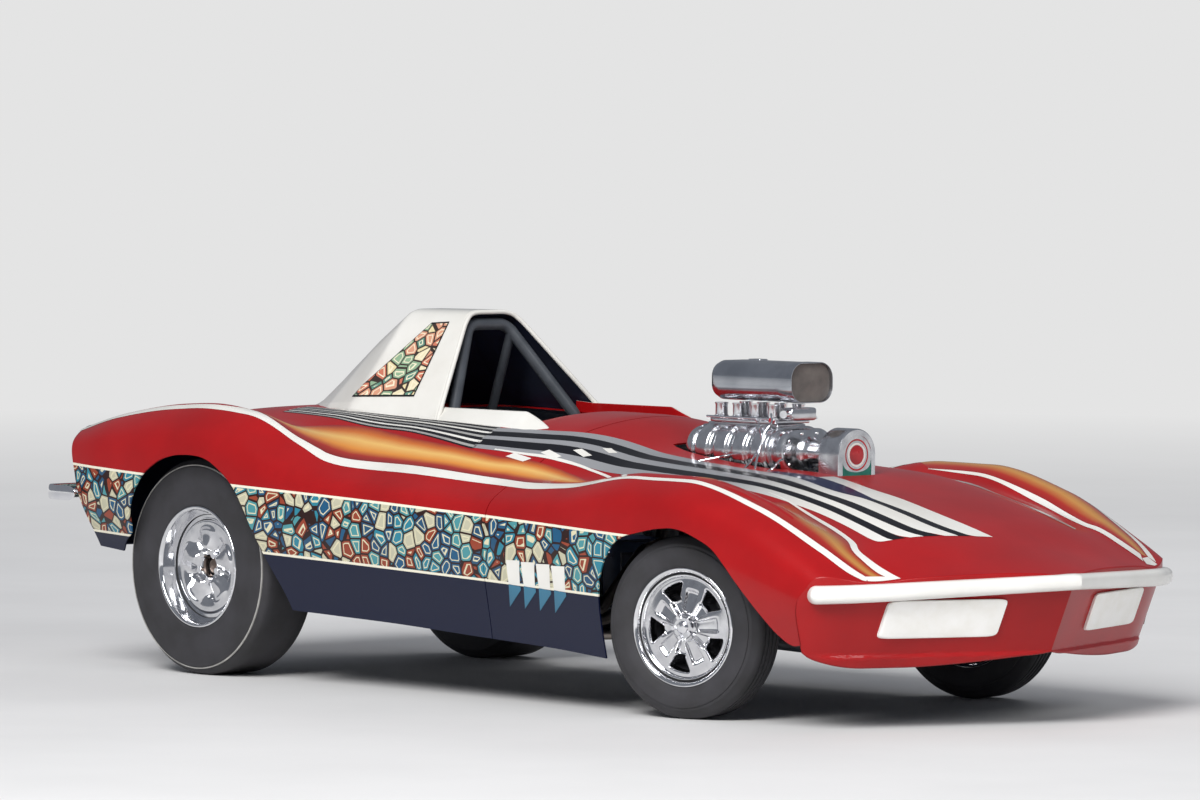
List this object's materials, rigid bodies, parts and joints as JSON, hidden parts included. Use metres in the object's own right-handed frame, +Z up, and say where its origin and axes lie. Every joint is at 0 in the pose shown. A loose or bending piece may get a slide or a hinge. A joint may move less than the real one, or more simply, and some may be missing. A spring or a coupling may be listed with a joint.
{
  "type": "drag racing car",
  "caption": "Open drag racing roadster with a low moulded body, a head fairing behind the cockpit, wide slick rear tyres and an exposed supercharged engine; it rolls and steers.",
  "frame": {"origin": "on the ground, under the middle of the car's overall length and width", "axes": "+X towards the nose, +Y to the car's left, +Z up"},
  "size_m": [4.6, 1.776, 1.356],
  "materials": {
    "body_red": "gloss airbrushed paint over moulded glass-fibre",
    "cream_paint": "gloss cream paint",
    "lamp_red": "moulded red lens",
    "frame_grey": "enamelled steel tube",
    "sheet_aluminium": "folded sheet",
    "seat_black": "padded vinyl over a sheet shell",
    "engine_iron": "machined casting",
    "polished_aluminium": "polished casting",
    "chrome": "plated",
    "belt_rubber": "moulded toothed belt",
    "wire_screen": "woven wire",
    "header_steel": "bent tube",
    "tyre_rubber": "moulded tyre",
    "wheel_polished": "polished casting",
    "grip_black": "wrapped rim"
  },
  "bodies": {
    "chassis": {"rear_body": "body_red", "front_clip": "body_red", "roll_fairing": "cream_paint", "front_bumper": "cream_paint", "grille_panels": "cream_paint", "rear_bumpers": "chrome", "tail_lamps": "lamp_red", "frame_rails": "frame_grey", "crossmembers": "frame_grey", "roll_hoop": "frame_grey", "hoop_braces": "frame_grey", "floor_pan": "sheet_aluminium", "firewall": "sheet_aluminium", "driver_seat": "seat_black", "seat_stand": "frame_grey", "engine_block": "engine_iron", "valve_covers": "polished_aluminium", "intake_manifold": "polished_aluminium", "motor_plates": "sheet_aluminium", "blower_case": "polished_aluminium", "blower_rear_plate": "polished_aluminium", "blower_front_cover": "polished_aluminium", "blower_pulley": "polished_aluminium", "crank_pulley": "polished_aluminium", "drive_belt": "belt_rubber", "injector_base": "polished_aluminium", "air_scoop": "polished_aluminium", "scoop_screen": "wire_screen", "headers": "header_steel", "transmission": "engine_iron", "driveshaft": "header_steel", "rear_axle_housing": "frame_grey", "rear_axle_stays": "frame_grey", "front_axle": "chrome", "radius_rods": "chrome", "fuel_tank": "sheet_aluminium", "steering_column": "header_steel"},
    "steering_wheel": {"steering_wheel": "grip_black"},
    "knuckle_right": {"knuckle_right": "header_steel"},
    "knuckle_left": {"knuckle_left": "header_steel"},
    "tie_rod": {"tie_rod": "header_steel"},
    "rear_wheel_right": {"rear_tyre_right": "tyre_rubber", "rear_wheel_right": "wheel_polished"},
    "rear_wheel_left": {"rear_tyre_left": "tyre_rubber", "rear_wheel_left": "wheel_polished"},
    "front_wheel_right": {"front_tyre_right": "tyre_rubber", "front_wheel_right": "chrome"},
    "front_wheel_left": {"front_tyre_left": "tyre_rubber", "front_wheel_left": "chrome"}
  },
  "joints": [
    {"name": "roll_rear_right", "type": "hinge", "parent": "chassis", "child": "rear_wheel_right", "pos_m": [-1.474, -0.673, 0.4], "axis": [0, 1, 0], "continuous": true},
    {"name": "roll_rear_left", "type": "hinge", "parent": "chassis", "child": "rear_wheel_left", "pos_m": [-1.474, 0.673, 0.4], "axis": [0, 1, 0], "continuous": true},
    {"name": "steer_right", "type": "hinge", "parent": "chassis", "child": "knuckle_right", "pos_m": [1.11, -0.655, 0.318], "axis": [0, 0, 1], "range_deg": [-37, 11]},
    {"name": "steer_left", "type": "hinge", "parent": "chassis", "child": "knuckle_left", "pos_m": [1.11, 0.655, 0.318], "axis": [0, 0, 1], "range_deg": [-37, 11]},
    {"name": "tie_rod_slide", "type": "slide", "parent": "chassis", "child": "tie_rod", "axis": [0, 1, 0], "range_m": [-0.02071, 0.06917]},
    {"name": "steering_wheel_turn", "type": "hinge", "parent": "chassis", "child": "steering_wheel", "pos_m": [-0.33, 0, 0.8], "axis": [-0.9, 0, 0.436], "range_deg": [-333, 99]},
    {"name": "roll_front_right", "type": "hinge", "parent": "knuckle_right", "child": "front_wheel_right", "pos_m": [1.12125, -0.70372, 0.318], "axis": [-0.225, 0.9744, 0], "continuous": true},
    {"name": "roll_front_left", "type": "hinge", "parent": "knuckle_left", "child": "front_wheel_left", "pos_m": [1.09875, 0.70372, 0.318], "axis": [-0.225, 0.9744, 0], "continuous": true}
  ],
  "couplings": [
    {"joint": "steer_left", "follows": "steer_right", "ratio": 1},
    {"joint": "tie_rod_slide", "follows": "steer_right", "m_per_rad": -0.10681},
    {"joint": "steering_wheel_turn", "follows": "steer_right", "ratio": 9}
  ]
}
